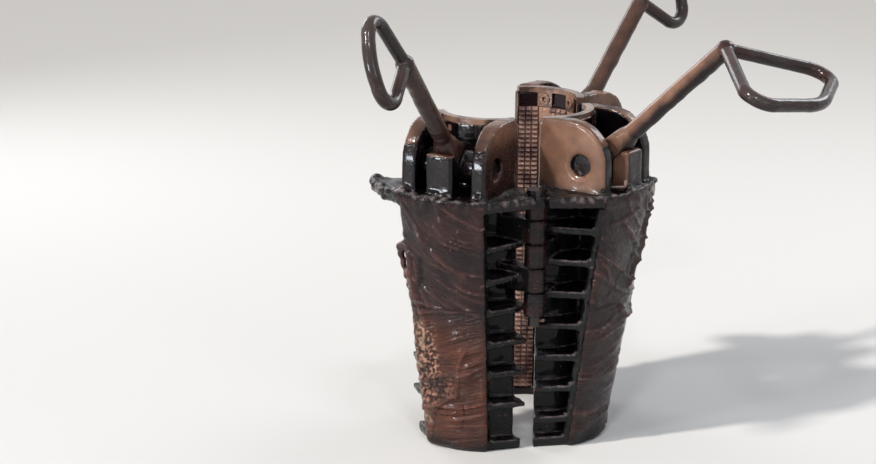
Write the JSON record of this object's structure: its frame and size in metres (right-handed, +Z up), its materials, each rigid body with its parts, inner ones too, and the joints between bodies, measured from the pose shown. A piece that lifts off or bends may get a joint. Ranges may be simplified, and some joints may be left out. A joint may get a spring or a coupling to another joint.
{
  "type": "rotary slips",
  "caption": "Hinged cast segments with tapered ribbed backs, toothed dies round the bore and folding lifting handles, for holding pipe in a rotary table bowl.",
  "frame": {"origin": "on the floor under the middle of the centre segment's toe", "axes": "+Z up along the bore, +X out through the back of the centre segment, +Y toward the rear segment"},
  "size_m": [0.6549, 0.876, 0.6939],
  "materials": {
    "body_casting": "cast steel under wet brown drilling mud",
    "die_steel": "hardened teeth, muddy and wet",
    "retainer_plate": "steel plate under wet mud",
    "bolt_steel": "muddy steel",
    "pin_steel": "worn steel, greasy",
    "handle_steel": "forged steel, mud film, bare on the loops"
  },
  "bodies": {
    "centre_segment": {"segment_centre": "body_casting", "dies_centre_left": "die_steel", "dies_centre_middle": "die_steel", "dies_centre_right": "die_steel", "retainer_centre": "retainer_plate", "screws_centre": "bolt_steel", "handle_pin_centre": "pin_steel", "hinge_pin_front": "pin_steel", "hinge_pin_rear": "pin_steel", "cotter_front": "bolt_steel", "cotter_rear": "bolt_steel"},
    "centre_handle": {"handle_centre": "handle_steel"},
    "left_segment": {"segment_left": "body_casting", "dies_left_left": "die_steel", "dies_left_middle": "die_steel", "dies_left_right": "die_steel", "retainer_left": "retainer_plate", "screws_left": "bolt_steel", "handle_pin_left": "pin_steel"},
    "left_handle": {"handle_left": "handle_steel"},
    "rear_segment": {"segment_rear": "body_casting", "dies_rear_left": "die_steel", "dies_rear_middle": "die_steel", "dies_rear_right": "die_steel", "retainer_rear": "retainer_plate", "screws_rear": "bolt_steel", "handle_pin_rear": "pin_steel"},
    "rear_handle": {"handle_rear": "handle_steel"}
  },
  "joints": [
    {"name": "front_hinge", "type": "hinge", "parent": "centre_segment", "child": "left_segment", "pos_m": [-0.03116, -0.10825, 0.31], "axis": [0, 0, 1], "range_deg": [-37, 30]},
    {"name": "rear_hinge", "type": "hinge", "parent": "centre_segment", "child": "rear_segment", "pos_m": [-0.03116, 0.10825, 0.31], "axis": [0, 0, 1], "range_deg": [-30, 37]},
    {"name": "centre_handle_pivot", "type": "hinge", "parent": "centre_segment", "child": "centre_handle", "pos_m": [0.01634, 0, 0.441], "axis": [0, -1, 0], "range_deg": [0, 45]},
    {"name": "left_handle_pivot", "type": "hinge", "parent": "left_segment", "child": "left_handle", "pos_m": [-0.13282, -0.16859, 0.441], "axis": [-0.9925, -0.1219, 0], "range_deg": [0, 45]},
    {"name": "rear_handle_pivot", "type": "hinge", "parent": "rear_segment", "child": "rear_handle", "pos_m": [-0.13282, 0.16859, 0.441], "axis": [0.9925, -0.1219, 0], "range_deg": [0, 45]}
  ]
}
